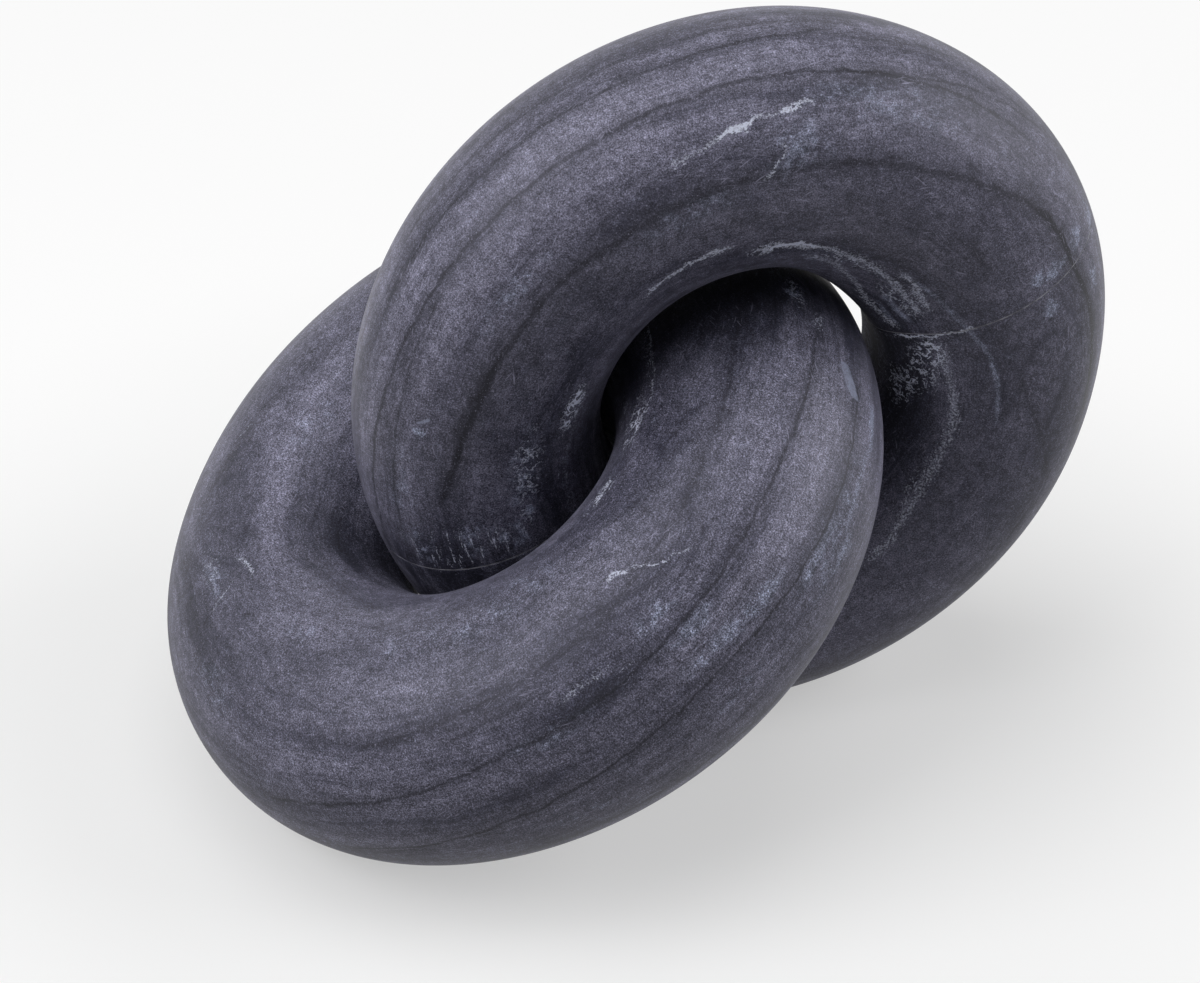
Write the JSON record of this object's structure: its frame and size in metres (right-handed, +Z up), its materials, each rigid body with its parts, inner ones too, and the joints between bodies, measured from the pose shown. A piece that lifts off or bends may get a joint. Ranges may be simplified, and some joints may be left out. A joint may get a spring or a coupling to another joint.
{
  "type": "linked stone rings ornament",
  "caption": "Tabletop ornament of thick round-section dark marble rings linked like a chain; one leans, the other stands on edge and turns through it.",
  "frame": {"origin": "on the table, under the middle of the pair's bounding box", "axes": "+Z up from the table; the line from the front, leaning ring's centre to the rear, upright ring's centre heads midway between +X and +Y, so the two widths are alike; the picture's viewer stands at azimuth 32 degrees"},
  "size_m": [0.147, 0.1464, 0.1343],
  "materials": {
    "front_marble": "honed satin",
    "rear_marble": "honed satin",
    "joint_epoxy": "matt"
  },
  "bodies": {
    "front_ring": {"front_ring": "front_marble"},
    "rear_ring": {"rear_ring_upper_half": "rear_marble", "rear_ring_lower_half": "rear_marble", "right_glue_joint": "joint_epoxy", "left_glue_joint": "joint_epoxy"}
  },
  "joints": [
    {"name": "rear_ring_turn", "type": "hinge", "parent": "front_ring", "child": "rear_ring", "pos_m": [0.02094, 0.01788, 0.06697], "axis": [0.7354, -0.6735, -0.0754], "continuous": true}
  ]
}
